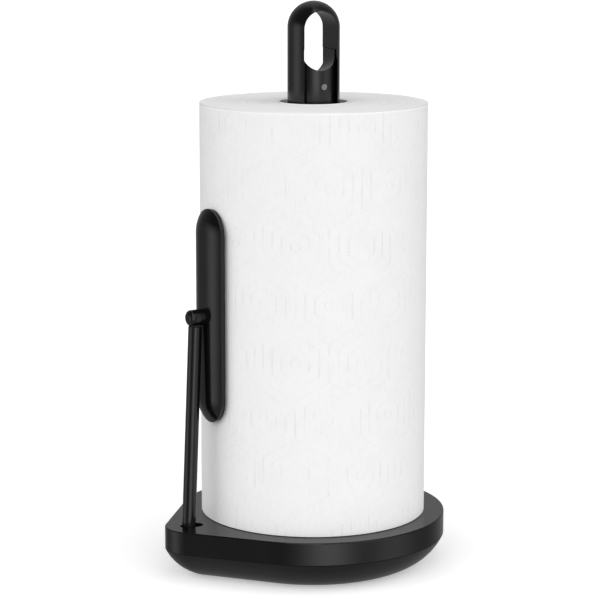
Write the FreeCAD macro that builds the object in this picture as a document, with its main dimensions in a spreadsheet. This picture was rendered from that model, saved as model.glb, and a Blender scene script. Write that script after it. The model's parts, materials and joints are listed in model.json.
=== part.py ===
"""Paper towel holder with a sprung arm, a loop handle and a loaded roll.

Frame: millimetres, +Z up, origin on the floor under the post's axis. The arm stands on the -X side.
Each sub-part is one object of the document, and its Label names its file in parts/.
"""
import FreeCAD
import Part
import math
import os
import Sketcher
from FreeCAD import Placement, Rotation, Vector

doc = FreeCAD.newDocument("TowelHolder")
X_AXIS = Vector(1, 0, 0)
Y_AXIS = Vector(0, 1, 0)
Z_AXIS = Vector(0, 0, 1)

# Driving dimensions in millimetres and degrees.
DIMENSIONS = {
    # Base: a disc whose outline runs out along tangent lines to a small round corner.
    "base_radius": 90.4,
    "corner_radius": 20.1,
    "corner_reach": 91.8,
    "base_top": 35.5,
    "base_seam": 20.0,
    "base_edge": 0.8,
    "seam_edge": 0.45,
    "cover_wall": 2.5,
    # Underside: one arc in section, from the seam down to the pan's floor.
    "bowl_radius": 35.92,
    "bowl_centre_height": 34.6,
    "bowl_centre_inset": 32.82,
    "pan_bottom": 1.0,
    "pan_floor": 4.0,
    "pan_wall": 2.0,
    "foot_outer": 67.0,
    "foot_inner": 59.0,
    "foot_groove": 2.4,
    # Ballast and the screws that close the base.
    "weight_radius": 70.0,
    "weight_height": 11.0,
    "base_screw_ring": 48.0,
    "boss_radius": 4.5,
    "base_screw_shank": 1.5,
    "base_screw_head": 3.0,
    # Post.
    "post_radius": 17.5,
    "post_bore": 15.3,
    "foot_flange_radius": 21.5,
    "foot_flange_top": 38.3,
    "foot_spigot_radius": 11.0,
    "tube_top": 300.0,
    "rod_radius": 4.0,
    "rod_bottom": 4.6,
    "rod_top": 331.0,
    "nut_radius": 7.5,
    "nut_bottom": 5.2,
    "nut_height": 4.0,
    "washer_radius": 8.5,
    "washer_height": 1.3,
    # Handle loop, its insert and the cross pin.
    "dome_centre": 365.4,
    "finger_half_width": 11.8,
    "finger_top_centre": 364.8,
    "finger_floor": 306.0,
    "handle_spigot_bottom": 276.0,
    "handle_turn": -7.3,
    "finger_edge": 0.3,
    "insert_radius": 14.3,
    "insert_half_width": 12.05,
    "insert_top": 350.7,
    "recess_half_width": 12.1,
    "seam_gap": 0.6,
    "seam_half_width": 12.9,
    "seam_half_length": 9.5,
    "saddle_radius": 11.4,
    "saddle_centre": 346.1,
    "saddle_slope": 11.0,
    "cross_pin_radius": 2.1,
    "cross_pin_recess": 0.45,
    "cross_pin_height": 326.5,
    "cross_pin_half_length": 14.2,
    # Roll and the collar that centres it.
    "roll_radius": 76.7,
    "roll_bottom": 35.7,
    "roll_top": 316.0,
    "roll_edge": 0.8,
    "core_outer": 23.5,
    "core_inner": 22.7,
    "collar_radius": 22.3,
    "collar_bottom": 38.6,
    "collar_top": 52.0,
    "collar_clearance": 0.06,
    # Arm and its pivot.
    "pivot_reach": 97.2,
    "pivot_height": 16.0,
    "arm_lean": 2.45,
    "arm_radius": 4.55,
    "arm_bottom": 7.5,
    "pivot_pin_radius": 3.0,
    "pivot_clearance": 0.05,
    "bush_radius": 3.9,
    "bush_end": 5.4,
    "foot_eye_radius": 6.0,
    "foot_eye_half_width": 2.4,
    "socket_radius": 5.2,
    "socket_bottom": 6.2,
    "socket_top": 13.5,
    "slot_inner": 86.2,
    "slot_outer": 102.4,
    "slot_half_width": 5.0,
    "bracket_top": 29.0,
    "bracket_wall": 2.0,
    "ear_inner": 5.6,
    "ear_radius": 4.5,
    "bracket_outer": 102.5,
    "bracket_inner": 75.5,
    "bracket_half_width": 12.8,
    "pivot_pin_half_length": 9.4,
    "clip_seat": 8.0,
    "clip_height": 0.8,
    "clip_inner": 2.5,
    "clip_outer": 4.5,
    "small_screw": 1.2,
    "small_screw_head": 2.2,
    "bumper_half_width": 4.0,
    # Pad and its knuckle.
    "pad_height": 177.0,
    "pad_face": 77.2,
    "pad_half_width": 17.25,
    "pad_half_length": 71.8,
    "liner_thickness": 1.5,
    "shell_rim": 1.5,
    "shell_rise": 5.0,
    "crown_reach": 14.6,
    "pad_screw_radius": 1.5,
    "knuckle_radius": 5.4,
    "knuckle_foot": 84.7,
    "knuckle_end": 96.4,
    "knuckle_round": 3.0,
    "eye_clearance": 0.5,
    "eye_radius": 3.6,
    "eye_half_width": 2.2,
    "pad_pin_radius": 2.0,
    "pad_pin_half_length": 5.1,
    "shoulder_drop": 5.9,
}

sheet = doc.addObject("Spreadsheet::Sheet", "Sizes")
for line, (alias, amount) in enumerate(DIMENSIONS.items(), start=1):
    sheet.set(f"A{line}", alias)
    sheet.set(f"B{line}", str(amount))
    sheet.setAlias(f"B{line}", alias)
doc.recompute()


class Size:
    """A dimension that keeps both its value and the sheet formula it comes from."""

    def __init__(self, value, formula):
        self.value = value
        self.formula = formula

    def __add__(self, other):
        return Size(self.value + value(other), f"({self.formula} + {formula(other)})")

    def __sub__(self, other):
        return Size(self.value - value(other), f"({self.formula} - {formula(other)})")

    def __rsub__(self, other):
        return Size(value(other) - self.value, f"({formula(other)} - {self.formula})")

    def __mul__(self, other):
        return Size(self.value * value(other), f"({self.formula} * {formula(other)})")

    def __truediv__(self, other):
        return Size(self.value / value(other), f"({self.formula} / {formula(other)})")

    def __neg__(self):
        return Size(-self.value, f"(0 - {self.formula})")

    def root(self):
        return Size(math.sqrt(self.value), f"sqrt({self.formula})")


def value(size):
    return size.value if isinstance(size, Size) else float(size)


def formula(size):
    return size.formula if isinstance(size, Size) else f"({float(size)})"


class Sheet:
    """The sheet's cells as sizes: D.base_radius is the cell with that alias."""

    def __getattr__(self, alias):
        return Size(DIMENSIONS[alias], f"Sizes.{alias}")


D = Sheet()
PARTS = []


def finish_part(shape_object, label):
    """Name a finished sub-part and put it on the list to be written."""
    shape_object.Label = label
    PARTS.append(shape_object)
    return shape_object


def bind(thing, path, size):
    """Drive a property from the sheet, or set it when the size is a plain number."""
    thing.setExpression(path, formula(size))


# ---------------------------------------------------------------- Part primitives


def place(thing, x=0.0, y=0.0, z=0.0, axis=Z_AXIS, degrees=0.0):
    """Put an object somewhere; its position stays bound to the sheet."""
    thing.Placement = Placement(Vector(value(x), value(y), value(z)), Rotation(axis, value(degrees)))
    for letter, size in (("x", x), ("y", y), ("z", z)):
        if isinstance(size, Size):
            bind(thing, f"Placement.Base.{letter}", size)
    return thing


def cylinder(radius, height, x=0.0, y=0.0, z=0.0, axis=Z_AXIS, degrees=0.0):
    made = doc.addObject("Part::Cylinder", "Cylinder")
    bind(made, "Radius", radius)
    bind(made, "Height", height)
    return place(made, x, y, z, axis, degrees)


def cylinder_along_x(radius, x_low, x_high, y=0.0, z=0.0):
    return cylinder(radius, x_high - x_low, x_low, y, z, Y_AXIS, 90)


def cylinder_along_y(radius, y_low, y_high, x=0.0, z=0.0):
    """A cylinder from y_high back to y_low."""
    length = y_high - y_low
    return cylinder(radius, length, x, y_high, z, X_AXIS, 90)


def box(x_low, x_high, y_low, y_high, z_low, z_high):
    made = doc.addObject("Part::Box", "Box")
    bind(made, "Length", x_high - x_low)
    bind(made, "Width", y_high - y_low)
    bind(made, "Height", z_high - z_low)
    return place(made, x_low, y_low, z_low)


def fuse(*pieces):
    made = doc.addObject("Part::MultiFuse", "Fuse")
    made.Shapes = list(pieces)
    return made


def cut(base, *tools):
    made = doc.addObject("Part::Cut", "Cut")
    made.Base = base
    made.Tool = tools[0] if len(tools) == 1 else fuse(*tools)
    return made


def tube(outer, inner, z_low, z_high):
    """An upright ring about the post's axis; its bore runs past both ends."""
    height = z_high - z_low
    return cut(cylinder(outer, height, z=z_low), cylinder(inner, height + 2, z=z_low - 1))


# ---------------------------------------------------------------- PartDesign bodies


def new_body(name):
    return doc.addObject("PartDesign::Body", name)


def origin_plane(body, role):
    return next(feature for feature in body.Origin.OriginFeatures if feature.Role == role)


def new_sketch(body, role="XY_Plane", offset=0.0):
    """A sketch on one of the body's own origin planes, lifted off it by offset."""
    sketch = body.newObject("Sketcher::SketchObject", "Sketch")
    sketch.AttachmentSupport = [(origin_plane(body, role), "")]
    sketch.MapMode = "FlatFace"
    bind(sketch, "AttachmentOffset.Base.z", offset)
    return sketch


def constrain(sketch, kind, *arguments, size=None):
    """Add a constraint; a dimensional one is driven by its size."""
    if size is None:
        sketch.addConstraint(Sketcher.Constraint(kind, *arguments))
        return
    index = sketch.addConstraint(Sketcher.Constraint(kind, *arguments, value(size)))
    bind(sketch, f"Constraints[{index}]", size)


def pin_point(sketch, geometry, end, x, y):
    """Hold one point of a sketch at x, y from the sketch's origin."""
    for kind, size, axis in (("DistanceX", x, -2), ("DistanceY", y, -1)):
        if value(size) == 0:
            constrain(sketch, "PointOnObject", geometry, end, axis)
        else:
            constrain(sketch, kind, -1, 1, geometry, end, size=size)


def draw_circle(sketch, radius, x=0.0, y=0.0):
    centre = Vector(value(x), value(y), 0)
    circle = sketch.addGeometry(Part.Circle(centre, Z_AXIS, value(radius)), False)
    pin_point(sketch, circle, 3, x, y)
    constrain(sketch, "Radius", circle, size=radius)


def draw_polygon(sketch, points):
    """A closed outline of straight lines through points."""
    corners = [Vector(value(x), value(y), 0) for x, y in points]
    lines = []
    for start, end in zip(corners, corners[1:] + corners[:1]):
        lines.append(sketch.addGeometry(Part.LineSegment(start, end), False))
    for this, following in zip(lines, lines[1:] + lines[:1]):
        constrain(sketch, "Coincident", this, 2, following, 1)
    for edge, (x, y) in zip(lines, points):
        pin_point(sketch, edge, 1, x, y)


def draw_belt(sketch, first, second):
    """The outline round two circles, given as (x, y, radius): two arcs and two tangent lines."""
    arcs = []
    start = Vector(value(first[0]), value(first[1]), 0)
    end = Vector(value(second[0]), value(second[1]), 0)
    heading = math.atan2(end.y - start.y, end.x - start.x)
    swing = math.acos((value(first[2]) - value(second[2])) / (end - start).Length)
    for circle, low, high in (
        (first, heading + swing, heading + 2 * math.pi - swing),
        (second, heading - swing, heading + swing),
    ):
        centre = Vector(value(circle[0]), value(circle[1]), 0)
        whole = Part.Circle(centre, Z_AXIS, value(circle[2]))
        arc = sketch.addGeometry(Part.ArcOfCircle(whole, low, high), False)
        pin_point(sketch, arc, 3, circle[0], circle[1])
        constrain(sketch, "Radius", arc, size=circle[2])
        arcs.append((arc, centre, value(circle[2])))
    (arc_a, centre_a, radius_a), (arc_b, centre_b, radius_b) = arcs
    for side, end_a, end_b in ((1, 1, 2), (-1, 2, 1)):
        angle = heading + side * swing
        normal = Vector(math.cos(angle), math.sin(angle), 0)
        tangent = Part.LineSegment(centre_a + normal * radius_a, centre_b + normal * radius_b)
        edge = sketch.addGeometry(tangent, False)
        constrain(sketch, "Tangent", edge, 1, arc_a, end_a)
        constrain(sketch, "Tangent", edge, 2, arc_b, end_b)


def pad_up(body, sketch, length):
    feature = body.newObject("PartDesign::Pad", "Pad")
    feature.Profile = sketch
    bind(feature, "Length", length)
    return feature


def pocket(body, sketch, length, upwards):
    """A pocket from the sketch's plane, upwards or downwards along its normal."""
    feature = body.newObject("PartDesign::Pocket", "Pocket")
    feature.Profile = sketch
    bind(feature, "Length", length)
    feature.Reversed = upwards
    return feature


def pocket_both_ways(body, sketch, length):
    feature = body.newObject("PartDesign::Pocket", "Pocket")
    feature.Profile = sketch
    bind(feature, "Length", length)
    feature.Midplane = True
    return feature


def turn(body, points):
    """A body turned about the post's axis from a half section of (radius, height) points."""
    sketch = new_sketch(body, "XZ_Plane")
    draw_polygon(sketch, points)
    feature = body.newObject("PartDesign::Revolution", "Revolution")
    feature.Profile = sketch
    feature.ReferenceAxis = (origin_plane(body, "Z_Axis"), [""])
    feature.Angle = 360
    return feature


def round_edges(body, base, radius, wanted):
    """Fillet the edges of base for which wanted(edge) is true."""
    doc.recompute()
    names = [f"Edge{i}" for i, edge in enumerate(base.Shape.Edges, start=1) if wanted(edge)]
    feature = body.newObject("PartDesign::Fillet", "Fillet")
    feature.Base = (base, names)
    bind(feature, "Radius", radius)
    return feature


def edge_box(edge):
    bounds = edge.BoundBox
    return bounds.XMin, bounds.XMax, bounds.YMin, bounds.YMax, bounds.ZMin, bounds.ZMax


# ---------------------------------------------------------------- base


def base_outline(sketch, inset):
    """The base's outline, drawn in by inset all round."""
    disc = (0.0, 0.0, D.base_radius - inset)
    corner = (-D.corner_reach, 0.0, D.corner_radius - inset)
    draw_belt(sketch, disc, corner)


def bowl_outline(sketch, height, skin):
    """The bowl's outline at a height; skin is how far inside the outer surface it lies."""
    drop = D.bowl_centre_height - height
    arc = D.bowl_radius - skin
    inset = D.bowl_centre_inset - (arc * arc - drop * drop).root()
    disc = (0.0, 0.0, D.base_radius - inset)
    corner = (inset * 0.386 - D.corner_reach, 0.0, D.corner_radius - inset * 0.75)
    draw_belt(sketch, disc, corner)


BOSS_ANGLES = (45, 135, 225, 315)


def on_circle(radius, degrees):
    angle = math.radians(degrees)
    return radius * math.cos(angle), radius * math.sin(angle)


BRACKET_SCREWS = ((-80.0, 8.0), (-80.0, -8.0), (-98.5, 10.3), (-98.5, -10.3))


def make_base_cover():
    """Top shell: flat top, upright wall, the arm's slot and the bosses for the screws."""
    body = new_body("BaseCover")
    outline = new_sketch(body, offset=D.base_seam)
    base_outline(outline, 0.0)
    block = pad_up(body, outline, D.base_top - D.base_seam)
    rounded = round_edges(body, block, D.base_edge, lambda e: edge_box(e)[4] > value(D.base_top) - 0.1)
    round_edges(body, rounded, D.seam_edge, lambda e: edge_box(e)[5] < value(D.base_seam) + 0.1)
    inside = new_sketch(body, offset=D.base_seam)
    base_outline(inside, D.cover_wall)
    pocket(body, inside, D.base_top - D.base_seam - D.cover_wall, upwards=True)
    slot = new_sketch(body, offset=D.base_top + 1)
    slot_ends = (D.slot_inner + D.slot_half_width, D.slot_outer - D.slot_half_width)
    draw_slot(slot, -slot_ends[1], -slot_ends[0], D.slot_half_width)
    pocket(body, slot, D.cover_wall + 2, upwards=False)
    post_hole = new_sketch(body, offset=D.base_top + 1)
    draw_circle(post_hole, D.foot_spigot_radius + 0.1)
    pocket(body, post_hole, D.cover_wall + 2, upwards=False)
    ceiling = D.base_top - D.cover_wall
    bosses = []
    pilots = []
    for degrees in BOSS_ANGLES:
        x, y = on_circle(D.base_screw_ring, degrees)
        bosses.append(cylinder(D.boss_radius, ceiling - D.pan_floor + 0.5, x, y, D.pan_floor))
        pilots.append(cylinder(D.base_screw_shank, 16, x, y, D.pan_floor - 1))
    for x, y in BRACKET_SCREWS:
        bosses.append(cylinder(D.small_screw * 2, ceiling - D.bracket_top + 0.5, x, y, D.bracket_top))
        pilots.append(cylinder(D.small_screw, 3.4, x, y, D.bracket_top - 0.4))
    finish_part(cut(fuse(body, *bosses), *pilots), "base_cover")


def draw_slot(sketch, x_low, x_high, half_width):
    """A round-ended slot along X, between the two centres of its ends."""
    arcs = []
    for x, low, high in ((x_low, 90, 270), (x_high, -90, 90)):
        whole = Part.Circle(Vector(value(x), 0, 0), Z_AXIS, value(half_width))
        arc = Part.ArcOfCircle(whole, math.radians(low), math.radians(high))
        arcs.append(sketch.addGeometry(arc, False))
        pin_point(sketch, arcs[-1], 3, x, 0.0)
        constrain(sketch, "Radius", arcs[-1], size=half_width)
    for side, end_a, end_b in ((1, 1, 2), (-1, 2, 1)):
        start = Vector(value(x_low), side * value(half_width), 0)
        end = Vector(value(x_high), side * value(half_width), 0)
        edge = sketch.addGeometry(Part.LineSegment(start, end), False)
        constrain(sketch, "Tangent", edge, 1, arcs[0], end_a)
        constrain(sketch, "Tangent", edge, 2, arcs[1], end_b)


def loft_through(body, kind, heights, skin):
    """A loft through the bowl's outlines at the given heights."""
    sections = []
    for height in heights:
        section = new_sketch(body, offset=height)
        bowl_outline(section, height, skin)
        sections.append(section)
    feature = body.newObject(kind, "Loft")
    feature.Profile = sections[0]
    feature.Sections = sections[1:]
    feature.Ruled = False
    return feature


def heights_between(low, high, count):
    step = (high - low) / (count - 1)
    return [low + step * i for i in range(count)]


def make_base_pan():
    """Underside: a bowl that closes the cover from below, with a groove for the rubber ring."""
    body = new_body("BasePan")
    loft_through(body, "PartDesign::AdditiveLoft", heights_between(D.pan_bottom, D.base_seam, 7), 0.0)
    loft_through(body, "PartDesign::SubtractiveLoft", heights_between(D.pan_floor, D.base_seam, 6), D.pan_wall)
    groove = new_sketch(body, offset=D.pan_bottom - 1)
    draw_circle(groove, D.foot_outer)
    draw_circle(groove, D.foot_inner)
    pocket(body, groove, D.foot_groove - D.pan_bottom + 1, upwards=True)
    holes = []
    for degrees in BOSS_ANGLES:
        x, y = on_circle(D.base_screw_ring, degrees)
        holes.append(cylinder(D.base_screw_shank + 0.2, 8, x, y, -1))
        holes.append(cylinder(D.base_screw_head + 0.3, D.pan_bottom + 2.7, x, y, -1))
    finish_part(cut(body, *holes), "base_pan")


def make_foot_ring():
    body = new_body("FootRing")
    inner = D.foot_inner
    outer = D.foot_outer
    turn(body, (
        (inner, D.foot_groove), (inner, 0.5), (inner + 0.5, 0.0),
        (outer - 0.5, 0.0), (outer, 0.5), (outer, D.foot_groove),
    ))
    finish_part(body, "foot_ring")


def make_base_weight():
    """Steel disc on the pan's floor; the nut and washer sit in a recess underneath."""
    floor = D.pan_floor
    disc = cylinder(D.weight_radius, D.weight_height, z=floor)
    recess_top = D.nut_bottom + D.nut_height + D.washer_height
    tools = [
        cylinder(D.washer_radius + 1, recess_top - floor + 1, z=floor - 1),
        cylinder(D.rod_radius + 0.2, 20, z=floor - 1),
    ]
    for degrees in BOSS_ANGLES:
        x, y = on_circle(D.base_screw_ring, degrees)
        tools.append(cylinder(D.boss_radius + 0.6, 20, x, y, floor - 1))
    finish_part(cut(disc, *tools), "base_weight")


def make_base_screws():
    """Countersunk screws up through the pan into the cover's bosses."""
    screws = []
    for degrees in BOSS_ANGLES:
        x, y = on_circle(D.base_screw_ring, degrees)
        head = cylinder(D.base_screw_head, 1.4, x, y, D.pan_bottom + 0.3)
        drive = cylinder(1.2, 1.0, x, y, D.pan_bottom)
        shank = cylinder(D.base_screw_shank, 14, x, y, D.pan_bottom + 1.5)
        screws.append(cut(fuse(head, shank), drive))
    finish_part(fuse(*screws), "base_screws")


# ---------------------------------------------------------------- post


def make_post_foot():
    """Turned foot: a spigot through the cover down to the weight, a flange and a tube seat."""
    body = new_body("PostFoot")
    weight_top = D.pan_floor + D.weight_height
    bore = D.rod_radius + 0.4
    turn(body, (
        (bore, weight_top), (D.foot_spigot_radius, weight_top),
        (D.foot_spigot_radius, D.base_top), (D.foot_flange_radius, D.base_top),
        (D.foot_flange_radius, D.foot_flange_top), (D.post_bore, D.foot_flange_top),
        (D.post_bore, D.foot_flange_top + 22), (D.post_bore - 1.5, D.foot_flange_top + 23.5),
        (bore, D.foot_flange_top + 23.5),
    ))
    finish_part(body, "post_foot")


def make_post_tube():
    finish_part(tube(D.post_radius, D.post_bore, D.foot_flange_top, D.tube_top), "post_tube")


def make_tie_rod():
    """Rod from the nut under the weight up into the handle insert, drilled for the cross pin."""
    rod = cylinder(D.rod_radius, D.rod_top - D.rod_bottom, z=D.rod_bottom)
    hole = cylinder_along_y(D.cross_pin_radius, -D.rod_radius * 2, D.rod_radius * 2, 0.0, D.cross_pin_height)
    finish_part(cut(rod, hole), "tie_rod")


def make_post_nut():
    nut = doc.addObject("Part::Prism", "Nut")
    nut.Polygon = 6
    bind(nut, "Circumradius", D.nut_radius)
    bind(nut, "Height", D.nut_height)
    place(nut, z=D.nut_bottom)
    finish_part(cut(nut, cylinder(D.rod_radius, D.nut_height + 2, z=D.nut_bottom - 1)), "post_nut")


def make_post_washer():
    low = D.nut_bottom + D.nut_height
    finish_part(tube(D.washer_radius, D.rod_radius + 0.2, low, low + D.washer_height), "post_washer")


def make_core_hub():
    """Collar that centres the cardboard core; it turns freely on the post above the flange."""
    body = new_body("CoreHub")
    bore = D.post_radius + D.collar_clearance
    turn(body, (
        (bore, D.collar_bottom), (D.collar_radius, D.collar_bottom),
        (D.collar_radius, D.collar_top - 3), (D.collar_radius - 1.5, D.collar_top), (bore, D.collar_top),
    ))
    finish_part(body, "core_hub")


def split_ring(outer, inner, height, gap):
    """A snap ring about its own Z axis, open on the +X side."""
    ring = cut(cylinder(outer, height), cylinder(inner, height + 2, z=-1))
    return cut(ring, box(0.0, outer + 1, -gap / 2, gap / 2, -1.0, height + 1))


def make_hub_clip():
    clip = split_ring(D.post_radius + 1.6, D.post_radius, 1.2, 6.0)
    place(clip, z=D.collar_top + 0.3)
    finish_part(clip, "hub_clip")


# ---------------------------------------------------------------- handle


def make_handle_loop():
    """Post end with a domed top and a long finger slot; a spigot below fits the tube."""
    body = new_body("HandleLoop")
    sketch = new_sketch(body, "XZ_Plane")
    corners = (
        (0.0, D.dome_centre), (0.0, D.handle_spigot_bottom), (D.post_bore, D.handle_spigot_bottom),
        (D.post_bore, D.tube_top), (D.post_radius, D.tube_top), (D.post_radius, D.dome_centre),
    )
    draw_polygon(sketch, corners)
    stem = body.newObject("PartDesign::Revolution", "Stem")
    stem.Profile = sketch
    stem.ReferenceAxis = (origin_plane(body, "Z_Axis"), [""])
    stem.Angle = 360
    doc.recompute()
    dome = body.newObject("PartDesign::AdditiveSphere", "Dome")
    bind(dome, "Radius", D.post_radius)
    dome.AttachmentSupport = [(origin_plane(body, "XY_Plane"), "")]
    dome.MapMode = "FlatFace"
    bind(dome, "AttachmentOffset.Base.z", D.dome_centre)
    doc.recompute()
    bore = new_sketch(body, offset=D.handle_spigot_bottom - 1)
    draw_circle(bore, D.rod_radius + 0.2)
    pocket(body, bore, D.finger_floor - D.handle_spigot_bottom + 2, upwards=True)
    slot = new_sketch(body, "XZ_Plane")
    draw_arch(slot, D.finger_half_width, D.finger_floor, D.finger_top_centre)
    finger = pocket_both_ways(body, slot, D.post_radius * 3)
    seen = value(D.roll_top) - 20

    def on_rim(edge):
        _, _, y_low, y_high, z_low, z_high = edge_box(edge)
        one_side = y_low > 5 or y_high < -5
        return one_side and z_high > seen

    round_edges(body, finger, D.finger_edge, on_rim)
    recess = new_sketch(body, "XZ_Plane")
    wide = D.recess_half_width
    recess_top = D.insert_top + D.seam_gap
    draw_polygon(recess, ((-wide, D.finger_floor), (wide, D.finger_floor), (wide, recess_top), (-wide, recess_top)))
    pocket_both_ways(body, recess, D.post_radius * 3)
    seam = new_sketch(body, offset=D.insert_top)
    wide = D.seam_half_width
    long = D.seam_half_length
    draw_polygon(seam, ((-wide, -long), (wide, -long), (wide, long), (-wide, long)))
    pocket(body, seam, D.seam_gap, upwards=True)
    body.Placement = Placement(Vector(0, 0, 0), Rotation(Z_AXIS, value(D.handle_turn)))
    finish_part(body, "handle_loop")


def draw_arch(sketch, half_width, flat_end, arc_centre):
    """An upright slot outline with a flat lower end and a round upper end."""
    whole = Part.Circle(Vector(0, value(arc_centre), 0), Z_AXIS, value(half_width))
    arc = sketch.addGeometry(Part.ArcOfCircle(whole, 0, math.pi), False)
    pin_point(sketch, arc, 3, 0.0, arc_centre)
    constrain(sketch, "Radius", arc, size=half_width)
    corners = {}
    for side, end in ((1, 1), (-1, 2)):
        start = Vector(side * value(half_width), value(flat_end), 0)
        finish = Vector(side * value(half_width), value(arc_centre), 0)
        edge = sketch.addGeometry(Part.LineSegment(start, finish), False)
        constrain(sketch, "Tangent", edge, 2, arc, end)
        constrain(sketch, "DistanceY", -1, 1, edge, 1, size=flat_end)
        corners[side] = (edge, start)
    closing = Part.LineSegment(corners[-1][1], corners[1][1])
    edge = sketch.addGeometry(closing, False)
    constrain(sketch, "Coincident", edge, 1, corners[-1][0], 1)
    constrain(sketch, "Coincident", edge, 2, corners[1][0], 1)


def saddle_cutter():
    """A long round-bottomed block for the fingers' seat; it slopes down towards the back."""
    reach = D.post_radius * 2
    radius = D.saddle_radius
    trough = cylinder_along_y(radius, -reach, reach)
    above = box(-radius, radius, -reach, reach, 0.0, radius)
    cutter = fuse(trough, above)
    sloped = Rotation(Z_AXIS, value(D.handle_turn)).multiply(Rotation(X_AXIS, -value(D.saddle_slope)))
    cutter.Placement = Placement(Vector(0, 0, value(D.saddle_centre)), sloped)
    bind(cutter, "Placement.Base.z", D.saddle_centre)
    return cutter


def make_handle_insert():
    """Core of the handle: fills the slot's lower end and carries the saddle under the fingers."""
    body = new_body("HandleInsert")
    outline = new_sketch(body, offset=D.finger_floor + 0.1)
    draw_circle(outline, D.insert_radius)
    pad_up(body, outline, D.insert_top - D.finger_floor - 0.1)
    for side in (-1, 1):
        flat = new_sketch(body, offset=D.finger_floor - 1)
        near = D.insert_half_width * side
        far = D.post_radius * side
        draw_polygon(flat, (
            (near, -D.post_radius), (far, -D.post_radius), (far, D.post_radius), (near, D.post_radius),
        ))
        pocket(body, flat, D.insert_top - D.finger_floor + 5, upwards=True)
    body.Placement = Placement(Vector(0, 0, 0), Rotation(Z_AXIS, value(D.handle_turn)))
    bore = cylinder(D.rod_radius + 0.1, D.rod_top - D.finger_floor + 1.5, z=D.finger_floor - 1)
    reach = D.cross_pin_half_length
    height = D.cross_pin_height
    radius = D.cross_pin_radius
    hole = cylinder_along_y(radius, -reach * 2, reach * 2, 0.0, height)
    front = cylinder_along_y(radius + D.cross_pin_recess, -reach * 2, 1.0 - reach, 0.0, height)
    back = cylinder_along_y(radius + D.cross_pin_recess, reach - 1, reach * 2, 0.0, height)
    finish_part(cut(body, saddle_cutter(), bore, hole, front, back), "handle_insert")


def make_handle_pin():
    """Cross pin through insert and tie rod, with a small centre mark in each end."""
    reach = D.cross_pin_half_length
    height = D.cross_pin_height
    pin = cylinder_along_y(D.cross_pin_radius, -reach, reach, 0.0, height)
    marks = [
        cylinder_along_y(0.6, -reach - 1, 0.4 - reach, 0.0, height),
        cylinder_along_y(0.6, reach - 0.4, reach + 1, 0.0, height),
    ]
    finish_part(cut(pin, *marks), "handle_pin")


# ---------------------------------------------------------------- roll


def make_roll_core():
    finish_part(tube(D.core_outer, D.core_inner, D.roll_bottom, D.roll_top), "roll_core")


def make_paper_roll():
    body = new_body("PaperRoll")
    low = D.roll_bottom
    high = D.roll_top
    wound = turn(body, (
        (D.core_outer, low), (D.roll_radius, low), (D.roll_radius, high), (D.core_outer, high),
    ))
    round_edges(body, wound, D.roll_edge, lambda e: edge_box(e)[1] > value(D.roll_radius) - 0.1
                and edge_box(e)[5] - edge_box(e)[4] < 1)
    finish_part(body, "paper_roll")


# ---------------------------------------------------------------- arm pivot, inside the base


def make_pivot_bracket():
    """Steel U-plate under the cover, open towards the corner, with two ears for the pin."""
    top = D.bracket_top
    wall = D.bracket_wall
    pivot_x = -D.pivot_reach
    half = D.bracket_half_width
    plate = box(-D.bracket_outer, -D.bracket_inner, -half, half, top - wall, top)
    gap = box(-D.bracket_outer - 1, 2 - D.slot_inner, -D.ear_inner, D.ear_inner, top - wall - 1, top + 1)
    tools = [gap]
    for x, y in BRACKET_SCREWS:
        tools.append(cylinder(D.small_screw + 0.1, wall + 2, x, y, top - wall - 1))
    ears = []
    for side in (-1, 1):
        low = D.ear_inner if side > 0 else -D.ear_inner - wall
        side_low = pivot_x - D.ear_radius
        side_high = pivot_x + D.ear_radius
        ears.append(box(side_low, side_high, low, low + wall, D.pivot_height, top - wall))
        ears.append(cylinder_along_y(D.ear_radius, low, low + wall, pivot_x, D.pivot_height))
    reach = D.pivot_pin_half_length
    pin_hole = cylinder_along_y(D.pivot_pin_radius, -reach, reach, pivot_x, D.pivot_height)
    finish_part(cut(fuse(cut(plate, *tools), *ears), pin_hole), "pivot_bracket")


def make_bracket_screws():
    screws = []
    for x, y in BRACKET_SCREWS:
        under = D.bracket_top - D.bracket_wall
        head = cylinder(D.small_screw_head, 1.4, x, y, under - 1.4)
        shank = cylinder(D.small_screw, D.bracket_wall + 3.2, x, y, under - 0.2)
        screws.append(fuse(head, shank))
    finish_part(fuse(*screws), "bracket_screws")


def make_pivot_pin():
    """The arm's hinge pin, grooved at both ends for snap rings."""
    pivot_x = -D.pivot_reach
    reach = D.pivot_pin_half_length
    pin = cylinder_along_y(D.pivot_pin_radius, -reach, reach, pivot_x, D.pivot_height)
    grooves = []
    for low in (-D.clip_seat - D.clip_height, D.clip_seat):
        high = low + D.clip_height
        outer = cylinder_along_y(D.clip_outer, low, high, pivot_x, D.pivot_height)
        inner = cylinder_along_y(D.clip_inner, low - 1, high + 1, pivot_x, D.pivot_height)
        grooves.append(cut(outer, inner))
    finish_part(cut(pin, *grooves), "pivot_pin")


def make_pivot_clips():
    clips = []
    for y in (-D.clip_seat, D.clip_seat + D.clip_height):
        ring = split_ring(D.clip_outer, D.clip_inner, D.clip_height, 3.0)
        clips.append(place(ring, -D.pivot_reach, y, D.pivot_height, X_AXIS, 90))
    finish_part(fuse(*clips), "pivot_clips")


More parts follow.
